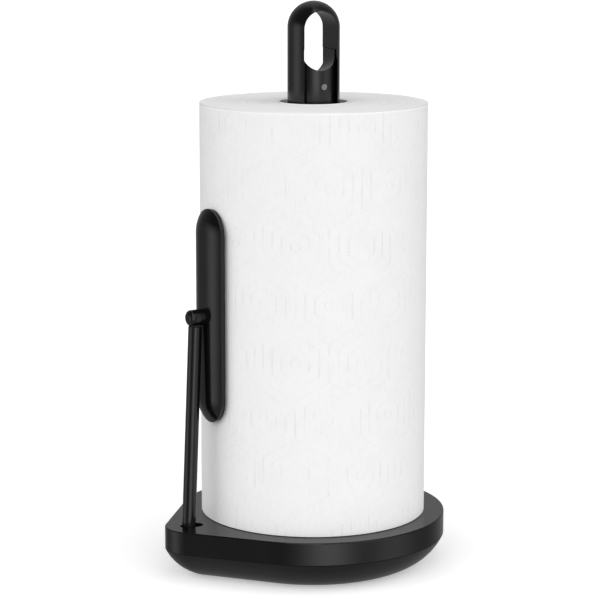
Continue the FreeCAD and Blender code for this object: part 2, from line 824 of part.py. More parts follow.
def make_torsion_spring():
    """Two coils on the bushes, one each side of the arm's eye, with legs to bracket and arm."""
    wire = 0.45
    coil = 4.75
    turns = 2
    pitch = 1.05
    pieces = []
    for side in (-1, 1):
        start = side * (value(D.foot_eye_half_width) + 0.55)
        helix = Part.makeHelix(pitch, pitch * turns, coil)
        ring = Part.makeCircle(wire, Vector(coil, 0, 0), Y_AXIS)
        coils = Part.Wire(helix).makePipeShell([Part.Wire(ring)], True, True)
        inner_leg = Part.makeCylinder(wire, 5.4, Vector(coil, 0, 0), Y_AXIS * -1)
        outer_leg = Part.makeCylinder(wire, 8.0, Vector(coil, 0, pitch * turns), Y_AXIS)
        whole = coils.fuse([inner_leg, outer_leg]).removeSplitter()
        # The coil is made about Z with its legs along Y; turned, its axis lies along Y.
        whole.rotate(Vector(0, 0, 0), X_AXIS, -90 * side)
        whole.translate(Vector(-value(D.pivot_reach), start, value(D.pivot_height)))
        pieces.append(whole)
    spring = doc.addObject("Part::Feature", "TorsionSpring")
    spring.Shape = Part.makeCompound(pieces)
    finish_part(spring, "torsion_spring")


def make_stop_bumper():
    """Rubber block under the cover that the arm meets at the outer end of its travel."""
    ceiling = D.base_top - D.cover_wall
    half = D.bumper_half_width
    block = box(-D.slot_outer - 3, 0.1 - D.slot_outer, -half, half, D.bracket_top + 0.5, ceiling)
    finish_part(block, "stop_bumper")


# ---------------------------------------------------------------- arm, made upright about its pivot


def lean_on_pivot(thing):
    """Move something made upright about the origin onto the pivot, leaning towards the post."""
    place(thing, -D.pivot_reach, 0.0, D.pivot_height, Y_AXIS, D.arm_lean)
    return thing


ARM_LENGTH = (D.pad_height - D.pivot_height) * (1 / math.cos(math.radians(DIMENSIONS["arm_lean"])))
ARM_TOP_SHIFT = (D.pad_height - D.pivot_height) * math.tan(math.radians(DIMENSIONS["arm_lean"]))


def make_arm_foot():
    """Block at the foot of the rod: an eye round the pin and a socket for the rod."""
    half = D.foot_eye_half_width
    eye = cylinder_along_y(D.foot_eye_radius, -half, half)
    neck = box(-D.arm_radius, D.arm_radius, -half, half, 0.0, D.socket_bottom + 0.5)
    socket = cylinder(D.socket_radius, D.socket_top - D.socket_bottom, z=D.socket_bottom)
    bore = cylinder_along_y(D.bush_radius, -half * 2, half * 2)
    rod_seat = cylinder(D.arm_radius, D.socket_top - D.arm_bottom + 1, z=D.arm_bottom)
    finish_part(lean_on_pivot(cut(fuse(eye, neck, socket), bore, rod_seat)), "arm_foot")


def make_pivot_bushes():
    bushes = []
    for side in (-1, 1):
        low = D.bush_end * 0.01 if side > 0 else -D.bush_end
        high = low + D.bush_end * 0.99
        outer = cylinder_along_y(D.bush_radius, low, high)
        inner = cylinder_along_y(D.pivot_pin_radius + D.pivot_clearance, low - 1, high + 1)
        bushes.append(cut(outer, inner))
    finish_part(lean_on_pivot(fuse(*bushes)), "pivot_bushes")


def make_arm_rod():
    """Round rod whose top is flattened into an eye for the pad's pin."""
    shoulder = ARM_LENGTH - D.shoulder_drop
    shaft = cylinder(D.arm_radius, shoulder - D.arm_bottom, z=D.arm_bottom)
    half = D.eye_half_width
    tongue = box(-D.eye_radius, D.eye_radius, -half, half, shoulder - 0.5, ARM_LENGTH)
    eye = cylinder_along_y(D.eye_radius, -half, half, 0.0, ARM_LENGTH)
    hole = cylinder_along_y(D.pad_pin_radius + D.pivot_clearance, -half * 2, half * 2, 0.0, ARM_LENGTH)
    finish_part(lean_on_pivot(cut(fuse(shaft, tongue, eye), hole)), "arm_rod")


# ---------------------------------------------------------------- pad


def draw_pad_outline(sketch, inset):
    """The pad's long outline with round ends, drawn in by inset."""
    straight = D.pad_half_length - D.pad_half_width
    radius = D.pad_half_width - inset
    arcs = []
    for side, low, high in ((1, 0, 180), (-1, 180, 360)):
        centre = D.pad_height + straight * side
        whole = Part.Circle(Vector(0, value(centre), 0), Z_AXIS, value(radius))
        arc = Part.ArcOfCircle(whole, math.radians(low), math.radians(high))
        arcs.append(sketch.addGeometry(arc, False))
        pin_point(sketch, arcs[-1], 3, 0.0, centre)
        constrain(sketch, "Radius", arcs[-1], size=radius)
    for side, end_top, end_low in ((1, 1, 2), (-1, 2, 1)):
        start = Vector(side * value(radius), value(D.pad_height + straight), 0)
        end = Vector(side * value(radius), value(D.pad_height - straight), 0)
        edge = sketch.addGeometry(Part.LineSegment(start, end), False)
        constrain(sketch, "Tangent", edge, 1, arcs[0], end_top)
        constrain(sketch, "Tangent", edge, 2, arcs[1], end_low)


SHELL_INNER = D.pad_face + D.liner_thickness
CROWN_START = 50
CROWN_STEP = 8


def make_pad_shell():
    """Stiff pad: an upright rim, then a gently convex face; drilled for the knuckle's screw."""
    body = new_body("PadShell")
    rim = new_sketch(body, "YZ_Plane", -SHELL_INNER)
    draw_pad_outline(rim, 0.0)
    plate = pad_up(body, rim, D.shell_rim)
    plate.Reversed = True
    start = math.radians(CROWN_START)
    sections = []
    for degrees in range(CROWN_START, 91, CROWN_STEP):
        angle = math.radians(degrees)
        share = (math.sin(angle) - math.sin(start)) / (1 - math.sin(start))
        inset = D.crown_reach * (1 - math.cos(angle) / math.cos(start))
        section = new_sketch(body, "YZ_Plane", -(SHELL_INNER + D.shell_rim + D.shell_rise * share))
        draw_pad_outline(section, inset)
        sections.append(section)
    crown = body.newObject("PartDesign::AdditiveLoft", "Crown")
    crown.Profile = sections[0]
    crown.Sections = sections[1:]
    back = -SHELL_INNER
    shank = cylinder_along_x(D.pad_screw_radius + 0.1, back - 6, back + 1, 0.0, D.pad_height)
    head = cylinder_along_x(D.pad_screw_radius * 2 + 0.2, back - 1.5, back + 1, 0.0, D.pad_height)
    seat = cylinder_along_x(D.knuckle_radius, -D.knuckle_foot - 2, -D.knuckle_foot, 0.0, D.pad_height)
    finish_part(cut(body, shank, head, seat), "pad_shell")


def make_pad_liner():
    body = new_body("PadLiner")
    outline = new_sketch(body, "YZ_Plane", -SHELL_INNER)
    draw_pad_outline(outline, 0.35)
    pad_up(body, outline, D.liner_thickness)
    finish_part(body, "pad_liner")


def make_pad_knuckle():
    """Barrel behind the pad, slotted from below for the rod's eye."""
    foot = -D.knuckle_foot
    end = -D.knuckle_end
    body = new_body("PadKnuckle")
    ring = new_sketch(body, "YZ_Plane", end)
    draw_circle(ring, D.knuckle_radius, 0.0, D.pad_height)
    barrel = pad_up(body, ring, foot - end)
    round_edges(body, barrel, D.knuckle_round, lambda e: edge_box(e)[1] < value(end) + 0.1)
    pivot_x = ARM_TOP_SHIFT - D.pivot_reach
    room = D.eye_radius + D.eye_clearance
    slot = box(pivot_x - room, pivot_x + room, -D.eye_half_width - 0.25, D.eye_half_width + 0.25,
               D.pad_height - 8, D.pad_height + D.eye_radius + 0.4)
    reach = D.knuckle_radius + 1
    pin_hole = cylinder_along_y(D.pad_pin_radius, -reach, reach, pivot_x, D.pad_height)
    recess = D.pad_pin_radius + 0.5
    inner = D.pad_pin_half_length - 0.7
    front = cylinder_along_y(recess, -reach, -inner, pivot_x, D.pad_height)
    back = cylinder_along_y(recess, inner, reach, pivot_x, D.pad_height)
    screw_hole = cylinder_along_x(D.pad_screw_radius, pivot_x + room - 1, 1 - D.knuckle_foot, 0.0, D.pad_height)
    finish_part(cut(body, slot, pin_hole, front, back, screw_hole), "pad_knuckle")


def make_pad_pivot_pin():
    pivot_x = ARM_TOP_SHIFT - D.pivot_reach
    reach = D.pad_pin_half_length
    pin = cylinder_along_y(D.pad_pin_radius, -reach, reach, pivot_x, D.pad_height)
    finish_part(pin, "pad_pivot_pin")


def make_pad_screw():
    """Screw from under the liner through the shell into the knuckle."""
    back = -SHELL_INNER
    tip = ARM_TOP_SHIFT - D.pivot_reach + D.eye_radius + D.eye_clearance + 0.1
    shank = cylinder_along_x(D.pad_screw_radius, tip, back - 1.2, 0.0, D.pad_height)
    head = cylinder_along_x(D.pad_screw_radius * 2 - 0.1, back - 1.4, back - 0.2, 0.0, D.pad_height)
    finish_part(fuse(shank, head), "pad_screw")


# ---------------------------------------------------------------- build, check, write

make_base_cover()
make_base_pan()
make_foot_ring()
make_base_weight()
make_base_screws()
make_post_foot()
make_post_tube()
make_tie_rod()
make_post_nut()
make_post_washer()
make_core_hub()
make_hub_clip()
make_handle_loop()
make_handle_insert()
make_handle_pin()
make_roll_core()
make_paper_roll()
make_pivot_bracket()
make_bracket_screws()
make_pivot_pin()
make_pivot_clips()
make_torsion_spring()
make_stop_bumper()
make_arm_foot()
make_pivot_bushes()
make_arm_rod()
make_pad_shell()
make_pad_liner()
make_pad_knuckle()
make_pad_pivot_pin()
make_pad_screw()
doc.recompute()

for thing in doc.Objects:
    if "Invalid" in thing.State or "Error" in thing.State:
        raise RuntimeError(f"{thing.Name} ({thing.Label}) failed: {thing.State}")
for part in PARTS:
    if part.Shape.isNull() or not part.Shape.isValid():
        raise RuntimeError(f"{part.Label} has no valid shape")

os.makedirs("parts", exist_ok=True)
for part in PARTS:
    part.Shape.exportStep(f"parts/{part.Label}.step")
    bounds = part.Shape.BoundBox
    print(
        f"{part.Label:16s} solids {len(part.Shape.Solids)} volume {part.Shape.Volume:11.1f}"
        f" x {bounds.XMin:7.1f} {bounds.XMax:7.1f} y {bounds.YMin:6.1f} {bounds.YMax:6.1f}"
        f" z {bounds.ZMin:6.1f} {bounds.ZMax:6.1f}"
    )
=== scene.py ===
"""Looks for the paper towel holder: materials, the embossed paper roll, light and camera.

Everything is in metres in the frame's own axes: +Z up, the arm on the -X side.
"""
import json
import math
import bpy
import numpy as np
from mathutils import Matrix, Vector


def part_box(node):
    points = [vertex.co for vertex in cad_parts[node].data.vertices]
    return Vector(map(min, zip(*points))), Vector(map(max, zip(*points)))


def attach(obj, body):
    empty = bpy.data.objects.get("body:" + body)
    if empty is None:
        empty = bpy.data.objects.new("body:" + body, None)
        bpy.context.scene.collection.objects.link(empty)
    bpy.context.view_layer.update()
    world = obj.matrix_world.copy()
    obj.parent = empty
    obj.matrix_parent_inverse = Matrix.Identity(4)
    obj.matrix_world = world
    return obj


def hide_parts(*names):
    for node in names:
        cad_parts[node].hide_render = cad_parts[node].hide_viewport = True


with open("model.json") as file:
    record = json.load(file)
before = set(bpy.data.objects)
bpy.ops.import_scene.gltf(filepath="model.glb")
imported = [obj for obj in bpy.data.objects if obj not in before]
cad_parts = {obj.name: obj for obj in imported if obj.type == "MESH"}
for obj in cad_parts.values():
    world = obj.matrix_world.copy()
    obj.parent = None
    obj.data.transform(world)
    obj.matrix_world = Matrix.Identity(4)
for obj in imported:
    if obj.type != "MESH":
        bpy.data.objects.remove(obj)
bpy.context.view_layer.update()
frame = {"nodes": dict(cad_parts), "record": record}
nodes = frame["nodes"]
MM = 0.001
rng = np.random.default_rng(7)

# The roll: where its free end lies, and its sheets.
TAIL_AT = math.radians(345)
ROLL_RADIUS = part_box("paper_roll")[1][0]
SHEET_THICKNESS = 0.35 * MM
SHEET_LENGTH = 280 * MM

# The pattern embossed in the sheets: nested honeycomb cells of dotted lines, darker than the sheet
# by a share (partly the denser pressed paper, partly painted shade in the pressed grooves), the slanted
# ones fainter than the upright ones, with fine creases between that are only painted shade.
CELL_WIDTH = 44 * MM
CELL_HEIGHT = CELL_WIDTH * math.sqrt(3)
LINE_SPACING = 6.4 * MM
LINE_WIDTH = 0.75 * MM
LINE_DEPTH = 0.25 * MM
DOT_PITCH = 2.2 * MM
LINE_TONE_AND_PAINTED_SHADE = 0.125
SLANTED_SHARE = 0.3
CREASE_PAINTED_SHADE = 0.03

# ---------------------------------------------------------------- camera

# A long lens in front and to the left of the holder, looking slightly down.
CAMERA_PLACE = Vector((-0.7864, -1.3271, 0.4620))
CAMERA_AZIMUTH = math.radians(-30.32)
CAMERA_PITCH = math.radians(10.337)
CAMERA_ROLL = math.radians(0.068)
CAMERA_LENS = 138.35


def make_camera():
    data = bpy.data.cameras.new("Camera")
    data.lens = CAMERA_LENS
    data.sensor_width = 36
    data.clip_end = 100
    camera = bpy.data.objects.new("Camera", data)
    bpy.context.scene.collection.objects.link(camera)
    level = math.cos(CAMERA_PITCH)
    ahead = Vector((
        -math.sin(CAMERA_AZIMUTH) * level,
        math.cos(CAMERA_AZIMUTH) * level,
        -math.sin(CAMERA_PITCH),
    ))
    camera.location = CAMERA_PLACE
    camera.rotation_euler = ahead.to_track_quat("-Z", "Y").to_euler()
    camera.rotation_euler.rotate_axis("Z", CAMERA_ROLL)
    bpy.context.scene.camera = camera


# ---------------------------------------------------------------- node helpers


def node_adder(tree):
    """A function that adds a node to a tree, with its inputs linked or set, and its settings."""

    def add(kind, inputs=(), **settings):
        node = tree.nodes.new(kind)
        for key, setting in settings.items():
            setattr(node, key, setting)
        for key, source in dict(inputs).items():
            if isinstance(source, bpy.types.NodeSocket):
                tree.links.new(source, node.inputs[key])
            else:
                node.inputs[key].default_value = source
        return node

    add.link = tree.links.new
    return add


def maths(add, operation, *values):
    """The result of one arithmetic step on numbers or sockets."""
    return add("ShaderNodeMath", dict(enumerate(values)), operation=operation).outputs[0]


def between(add, factor, low, high, from_low=0.3, from_high=0.7):
    """Map a value, such as a noise, onto a range of numbers, with its ends held."""
    inputs = {
        "Value": factor,
        "From Min": from_low,
        "From Max": from_high,
        "To Min": low,
        "To Max": high,
    }
    return add("ShaderNodeMapRange", inputs).outputs["Result"]


# ---------------------------------------------------------------- studio

TO_CAMERA = Vector((CAMERA_PLACE.x, CAMERA_PLACE.y, 0)).normalized()
WORLD_DIM = 0.05
# Glows of the studio walls: degrees right of the camera's side, half-width in degrees, level,
# and the height, as a sine, at which the glow has fallen to half (2 is never).
WALL_GLOWS = (
    (14, 22, 1.7, 2.0),
    (-77, 24, 0.95, 0.15),
    (72, 25, 0.78, 2.0),
    (180, 46, 0.5, 2.0),
)
GLOW_FADE = 0.15
# Below the walls, between these heights as sines, the surroundings change to an even level.
BELOW_FROM = -0.5
BELOW_TO = -0.22
BELOW_LEVEL = 0.33
# Softboxes: name, degrees right of the camera's side, degrees above the floor, level.
SOFTBOXES = (
    ("SideLeft", -90, 28, 0.27),
    ("FillLeft", -36, 30, 0.42),
    ("FillRight", 45, 30, 0.17),
    ("SideRight", 92, 28, 0.23),
)
SOFTBOX_SPREAD = math.radians(60)
# The floor reaches this far each way, and glows a little, which keeps its shadows pale.
FLOOR_HALF = 30.0
FLOOR_GLOW = 0.37


def heading(azimuth):
    """Level direction, in degrees to the right of the direction towards the camera."""
    turn = math.radians(azimuth)
    return Vector((
        TO_CAMERA.x * math.cos(turn) - TO_CAMERA.y * math.sin(turn),
        TO_CAMERA.x * math.sin(turn) + TO_CAMERA.y * math.cos(turn),
        0,
    ))


def make_softbox(name, azimuth, height, level):
    """A distant softbox: level is what it adds to a white card that faces it."""
    data = bpy.data.lights.new(name, "SUN")
    data.energy = level * math.pi
    data.angle = SOFTBOX_SPREAD
    sun = bpy.data.objects.new(name, data)
    bpy.context.scene.collection.objects.link(sun)
    rise = math.radians(height)
    towards = heading(azimuth) * math.cos(rise) + Vector((0, 0, math.sin(rise)))
    sun.rotation_euler = towards.to_track_quat("Z", "Y").to_euler()
    sun.visible_glossy = False


def make_world():
    """Soft surroundings: dim, with a glow on the wall at each side and an even one from below."""
    world = bpy.data.worlds.new("Studio")
    bpy.context.scene.world = world
    world.use_nodes = True
    background = world.node_tree.nodes["Background"]
    add = node_adder(world.node_tree)

    def vectors(operation, first, second=(0, 0, 0)):
        return add("ShaderNodeVectorMath", {0: first, 1: second}, operation=operation).outputs

    place = add("ShaderNodeTexCoord").outputs["Generated"]
    level_place = vectors("MULTIPLY", place, (1, 1, 0))["Vector"]
    bearing = vectors("NORMALIZE", level_place)["Vector"]
    height = vectors("DOT_PRODUCT", place, (0, 0, 1))["Value"]
    total = WORLD_DIM
    for azimuth, half_width, level, top in WALL_GLOWS:
        nearness = vectors("DOT_PRODUCT", bearing, heading(azimuth))["Value"]
        sharpness = 2 / math.radians(half_width) ** 2
        falloff = maths(add, "MULTIPLY", maths(add, "SUBTRACT", nearness, 1.0), sharpness)
        faded = between(add, height, level, 0.0, top - GLOW_FADE, top + GLOW_FADE)
        glow = maths(add, "MULTIPLY", maths(add, "EXPONENT", falloff), faded)
        total = maths(add, "ADD", glow, total)
    strength = between(add, height, BELOW_LEVEL, total, BELOW_FROM, BELOW_TO)
    add.link(strength, background.inputs["Strength"])
    background.inputs["Color"].default_value = (1, 1, 1, 1)


def make_studio():
    make_world()
    for softbox in SOFTBOXES:
        make_softbox(*softbox)
    bpy.context.scene.view_settings.view_transform = "Standard"


def make_floor():
    """A large pale floor that the whole view lies on; it neither lights the pieces nor shows in them."""
    far = FLOOR_HALF
    corners = [(-far, -far, 0), (far, -far, 0), (far, far, 0), (-far, far, 0)]
    mesh = bpy.data.meshes.new("Floor")
    mesh.from_pydata(corners, [], [(0, 1, 2, 3)])
    floor = bpy.data.objects.new("Floor", mesh)
    bpy.context.scene.collection.objects.link(floor)
    material, shader, _ = new_material("floor_white")
    shader.inputs["Base Color"].default_value = (0.8, 0.8, 0.8, 1)
    shader.inputs["Emission Color"].default_value = (1, 1, 1, 1)
    shader.inputs["Emission Strength"].default_value = FLOOR_GLOW
    shader.inputs["Roughness"].default_value = 0.9
    shader.inputs["Specular IOR Level"].default_value = 0.0
    mesh.materials.append(material)
    floor.visible_glossy = False
    floor.visible_diffuse = False


# ---------------------------------------------------------------- material building blocks

# Share of the reflection that is left where a surface turns fully away from the view.
RIM_SHARE = 0.1


def new_material(name):
    """A material with its Principled shader, and a function that adds a node to it."""
    material = bpy.data.materials.new(name)
    material.use_nodes = True
    tree = material.node_tree
    return material, tree.nodes["Principled BSDF"], node_adder(tree)


def object_place(add, stretch=(1, 1, 1)):
    """Object coordinates, which are the frame's own, stretched along the axes."""
    place = add("ShaderNodeTexCoord").outputs["Object"]
    if stretch == (1, 1, 1):
        return place
    return add("ShaderNodeMapping", {"Vector": place, "Scale": stretch}).outputs["Vector"]


def arc_angle(add, split):
    """Angle about the Z axis of a place that has been split into X, Y and Z."""
    return maths(add, "ARCTAN2", split.outputs["Y"], split.outputs["X"])


def noise(add, place, scale, detail=2.0, roughness=0.5):
    """Even noise from 0 to 1, with about scale grains to the metre."""
    inputs = {"Vector": place, "Scale": scale, "Detail": detail, "Roughness": roughness}
    return add("ShaderNodeTexNoise", inputs).outputs["Fac"]


def ring_noise(add, radius, scale, detail):
    """Noise that depends on the distance from the axis only."""
    inputs = {"W": radius, "Scale": scale, "Detail": detail}
    return add("ShaderNodeTexNoise", inputs, noise_dimensions="1D").outputs["Fac"]


def tint(add, factor, dark, light):
    """Mix two colours by a noise value."""
    ramp = add("ShaderNodeValToRGB", {"Fac": factor})
    first, last = ramp.color_ramp.elements
    first.position = 0.3
    first.color = (*dark, 1)
    last.position = 0.7
    last.color = (*light, 1)
    return ramp.outputs["Color"]


def bump(add, height, strength, distance, under=None):
    """Relief from a value, over the relief of the normal under it."""
    inputs = {"Height": height, "Strength": strength, "Distance": distance}
    if under is not None:
        inputs["Normal"] = under
    return add("ShaderNodeBump", inputs).outputs["Normal"]


def soften_rim(add, shader, specular):
    """Weaken the reflection where a surface turns away from the view, as a fine grain does."""
    facing = add("ShaderNodeLayerWeight", {"Blend": 0.5}).outputs["Facing"]
    softened = between(add, facing, specular, specular * RIM_SHARE, 0.45, 0.85)
    add.link(softened, shader.inputs["Specular IOR Level"])


# ---------------------------------------------------------------- materials


def moulded_plastic(name, dark, light, smooth, rough, specular, grain):
    """Satin moulded plastic: a fine spark-eroded grain over faint flow marks."""
    material, shader, add = new_material(name)
    place = object_place(add)
    flow = noise(add, place, 38, 3)
    fine = noise(add, place, 2600, 2, 0.6)
    add.link(tint(add, flow, dark, light), shader.inputs["Base Color"])
    add.link(between(add, noise(add, place, 420, 3), smooth, rough), shader.inputs["Roughness"])
    add.link(bump(add, fine, grain, 0.06 * MM), shader.inputs["Normal"])
    soften_rim(add, shader, specular)
    return material


def satin_paint(name, colour, roughness, specular):
    """Powder coat on steel: a slight orange peel."""
    material, shader, add = new_material(name)
    place = object_place(add)
    peel = noise(add, place, 700, 2)
    brighter = tuple(channel * 1.15 for channel in colour)
    uneven = between(add, noise(add, place, 300), roughness - 0.03, roughness + 0.04)
    add.link(tint(add, noise(add, place, 60), colour, brighter), shader.inputs["Base Color"])
    add.link(uneven, shader.inputs["Roughness"])
    add.link(bump(add, peel, 0.12, 0.08 * MM), shader.inputs["Normal"])
    soften_rim(add, shader, specular)
    return material


def brushed_metal(name, dark, light, roughness, stretch):
    """Drawn or turned steel, its brush lines along the axis that stretch squeezes."""
    material, shader, add = new_material(name)
    lines = noise(add, object_place(add, stretch), 1500, 3, 0.7)
    uneven = between(add, lines, roughness - 0.06, roughness + 0.08)
    add.link(tint(add, lines, dark, light), shader.inputs["Base Color"])
    add.link(uneven, shader.inputs["Roughness"])
    add.link(bump(add, lines, 0.15, 0.03 * MM), shader.inputs["Normal"])
    shader.inputs["Metallic"].default_value = 1.0
    return material


def cast_iron(name):
    """Raw casting: dark and pitted."""
    material, shader, add = new_material(name)
    place = object_place(add)
    pits = noise(add, place, 500, 5, 0.7)
    colour = tint(add, pits, (0.05, 0.05, 0.052), (0.11, 0.108, 0.105))
    add.link(colour, shader.inputs["Base Color"])
    add.link(between(add, pits, 0.6, 0.8), shader.inputs["Roughness"])
    add.link(bump(add, pits, 0.5, 0.3 * MM), shader.inputs["Normal"])
    shader.inputs["Metallic"].default_value = 0.6
    return material


def soft_rubber(name, dark, light):
    """Matte elastomer with a fine pebbled skin."""
    material, shader, add = new_material(name)
    place = object_place(add)
    pebbles = add("ShaderNodeTexVoronoi", {"Vector": place, "Scale": 1400.0}).outputs["Distance"]
    add.link(tint(add, noise(add, place, 90), dark, light), shader.inputs["Base Color"])
    add.link(between(add, noise(add, place, 500), 0.62, 0.74), shader.inputs["Roughness"])
    add.link(bump(add, pebbles, 0.25, 0.08 * MM), shader.inputs["Normal"])
    shader.inputs["Specular IOR Level"].default_value = 0.3
    return material


def honeycomb(add, across, up):
    """Distance to a honeycomb cell's edge; the second result is positive beside upright sides."""

    def from_middle(along, pitch, shift):
        """Distance from the middle of the strip that the point is in."""
        within = maths(add, "FLOORED_MODULO", maths(add, "ADD", along, shift * pitch), pitch)
        return maths(add, "ABSOLUTE", maths(add, "SUBTRACT", within, pitch / 2))

    def reach(shift):
        """How far the point is from the middle of a cell of one of two interleaved grids."""
        x = from_middle(across, CELL_WIDTH, shift)
        y = from_middle(up, CELL_HEIGHT, shift)
        half_x = maths(add, "MULTIPLY", x, 0.5)
        slanted = maths(add, "ADD", half_x, maths(add, "MULTIPLY", y, math.sqrt(0.75)))
        return maths(add, "MAXIMUM", x, slanted), maths(add, "SUBTRACT", x, slanted)

    first, first_upright = reach(0.0)
    second, second_upright = reach(0.5)
    in_first = maths(add, "LESS_THAN", first, second)
    uprights = {"Factor": in_first, "A": second_upright, "B": first_upright}
    upright = add("ShaderNodeMix", uprights, data_type="FLOAT").outputs["Result"]
    nearer = maths(add, "MINIMUM", first, second)
    return maths(add, "SUBTRACT", CELL_WIDTH / 2, nearer), upright


def embossed_lines(add):
    """Nested dotted honeycomb lines pressed into the sheet, starting at the roll's free end."""
    place = object_place(add)
    turn = {"Vector": place, "Rotation": (0, 0, math.pi - TAIL_AT)}
    turned = add("ShaderNodeMapping", turn).outputs["Vector"]
    split = add("ShaderNodeSeparateXYZ", {"Vector": turned})
    across = maths(add, "MULTIPLY", arc_angle(add, split), ROLL_RADIUS)
    up = split.outputs["Z"]
    edge, upright = honeycomb(add, across, up)
    # Lines at even steps in from the cell's edge.
    nested = maths(add, "PINGPONG", edge, LINE_SPACING / 2)
    line = between(add, nested, 1.0, 0.0, LINE_WIDTH * 0.3, LINE_WIDTH)
    # Dots along each line, with a fainter line between them.
    beads = maths(add, "PINGPONG", up, DOT_PITCH / 2)
    dots = between(add, beads, 0.25, 1.0, DOT_PITCH * 0.1, DOT_PITCH * 0.3)
    # Patches a few lines wide where the embossing is worn away.
    worn = between(add, noise(add, place, 70, 2), 0.05, 1.0, 0.42, 0.6)
    # Slanted lines are fainter; the change is spread over 2 mm.
    pressed = between(add, upright, SLANTED_SHARE, 1.0, -1 * MM, 1 * MM)
    strength = line
    for share in (dots, worn, pressed):
        strength = maths(add, "MULTIPLY", strength, share)
    return strength


def paper_face(name):
    """Soft creped tissue: dotted embossing, upright creases and crepe, and scattered fibres; the creases
    are only painted shade in the colour, and the lines are darker partly as painted shade.
    """
    material, shader, add = new_material(name)
    crepe = noise(add, object_place(add, (1, 1, 0.14)), 2400, 3, 0.6)
    fibres = noise(add, object_place(add, (1, 1, 0.5)), 5200, 2, 0.7)
    creases = noise(add, object_place(add, (1, 1, 0.2)), 750, 2)
    cloud = noise(add, object_place(add), 55, 3)
    lines = embossed_lines(add)
    white = tint(add, cloud, (0.84, 0.84, 0.839), (0.86, 0.86, 0.859))
    # Darker upright streaks along the crepe creases: painted shade, with no relief of their own.
    crease_painted_shade = between(add, creases, 1.0 - CREASE_PAINTED_SHADE, 1.0, 0.3, 0.5)
    # Darker along the embossed lines: partly the denser pressed paper, partly painted shade in the
    # pressed grooves.
    line_tone_and_painted_shade = between(add, lines, 1.0, 1.0 - LINE_TONE_AND_PAINTED_SHADE, 0.0, 1.0)
    painted_shade_inputs = {0: white, "Scale": maths(add, "MULTIPLY", line_tone_and_painted_shade, crease_painted_shade)}
    white_with_painted_shade = add("ShaderNodeVectorMath", painted_shade_inputs, operation="SCALE").outputs["Vector"]
    add.link(white_with_painted_shade, shader.inputs["Base Color"])
    pressed = bump(add, lines, -1.0, LINE_DEPTH)
    creped = bump(add, crepe, 0.35, 0.12 * MM, pressed)
    add.link(bump(add, fibres, 0.25, 0.05 * MM, creped), shader.inputs["Normal"])
    shader.inputs["Roughness"].default_value = 0.95
    shader.inputs["Specular IOR Level"].default_value = 0.15
    shader.inputs["Sheen Weight"].default_value = 0.08
    return material


def paper_ends(name):
    """The roll's ends: the edges of the wound layers, as fine rings about the axis, a little darker than
    the sheets' face as painted shade between the layers.
    """
    material, shader, add = new_material(name)
    flatten = {0: object_place(add), 1: (1, 1, 0)}
    flat = add("ShaderNodeVectorMath", flatten, operation="MULTIPLY").outputs["Vector"]
    radius = add("ShaderNodeVectorMath", {0: flat}, operation="LENGTH").outputs["Value"]
    layers = ring_noise(add, radius, 1900.0, 4.0)
    bands = ring_noise(add, radius, 160.0, 2.0)
    fuzz = noise(add, object_place(add), 1800, 3, 0.7)
    # A little darker than the sheets' face: painted shade between the wound layers; the bands are random
    # tone.
    colour = tint(add, bands, (0.79, 0.79, 0.789), (0.83, 0.83, 0.829))
    add.link(colour, shader.inputs["Base Color"])
    layered = bump(add, layers, 0.35, 0.1 * MM)
    add.link(bump(add, fuzz, 0.3, 0.1 * MM, layered), shader.inputs["Normal"])
    shader.inputs["Roughness"].default_value = 0.95
    shader.inputs["Specular IOR Level"].default_value = 0.1
    return material


def cardboard(name):
    """Spirally wound grey board: a helical seam and short fibres."""
    seam_pitch = 70 * MM
    seam_width = 0.6 * MM
    material, shader, add = new_material(name)
    split = add("ShaderNodeSeparateXYZ", {"Vector": object_place(add)})
    rise = seam_pitch / (2 * math.pi)
    winding = maths(add, "MULTIPLY_ADD", arc_angle(add, split), rise, split.outputs["Z"])
    saw = maths(add, "FLOORED_MODULO", winding, seam_pitch)
    seam = maths(add, "LESS_THAN", saw, seam_width)
    fibres = noise(add, object_place(add, (1, 1, 0.4)), 1600, 4, 0.7)
    colour = tint(add, fibres, (0.74, 0.735, 0.725), (0.82, 0.815, 0.805))
    add.link(colour, shader.inputs["Base Color"])
    grooved = bump(add, seam, -0.4, 0.3 * MM)
    add.link(bump(add, fibres, 0.4, 0.1 * MM, grooved), shader.inputs["Normal"])
    shader.inputs["Roughness"].default_value = 0.9
    shader.inputs["Specular IOR Level"].default_value = 0.2
    return material


# Colours, dark and light.
BLACK = ((0.003, 0.003, 0.0031), (0.0045, 0.0045, 0.0046))
WARM_BLACK = ((0.0062, 0.0050, 0.0050), (0.008, 0.0066, 0.0067))
LINER_BLACK = ((0.012, 0.012, 0.012), (0.017, 0.017, 0.017))
RUBBER_BLACK = ((0.02, 0.02, 0.02), (0.03, 0.03, 0.03))
STEEL = ((0.25, 0.25, 0.248), (0.36, 0.36, 0.357))
NATURAL_NYLON = ((0.50, 0.49, 0.45), (0.56, 0.55, 0.51))


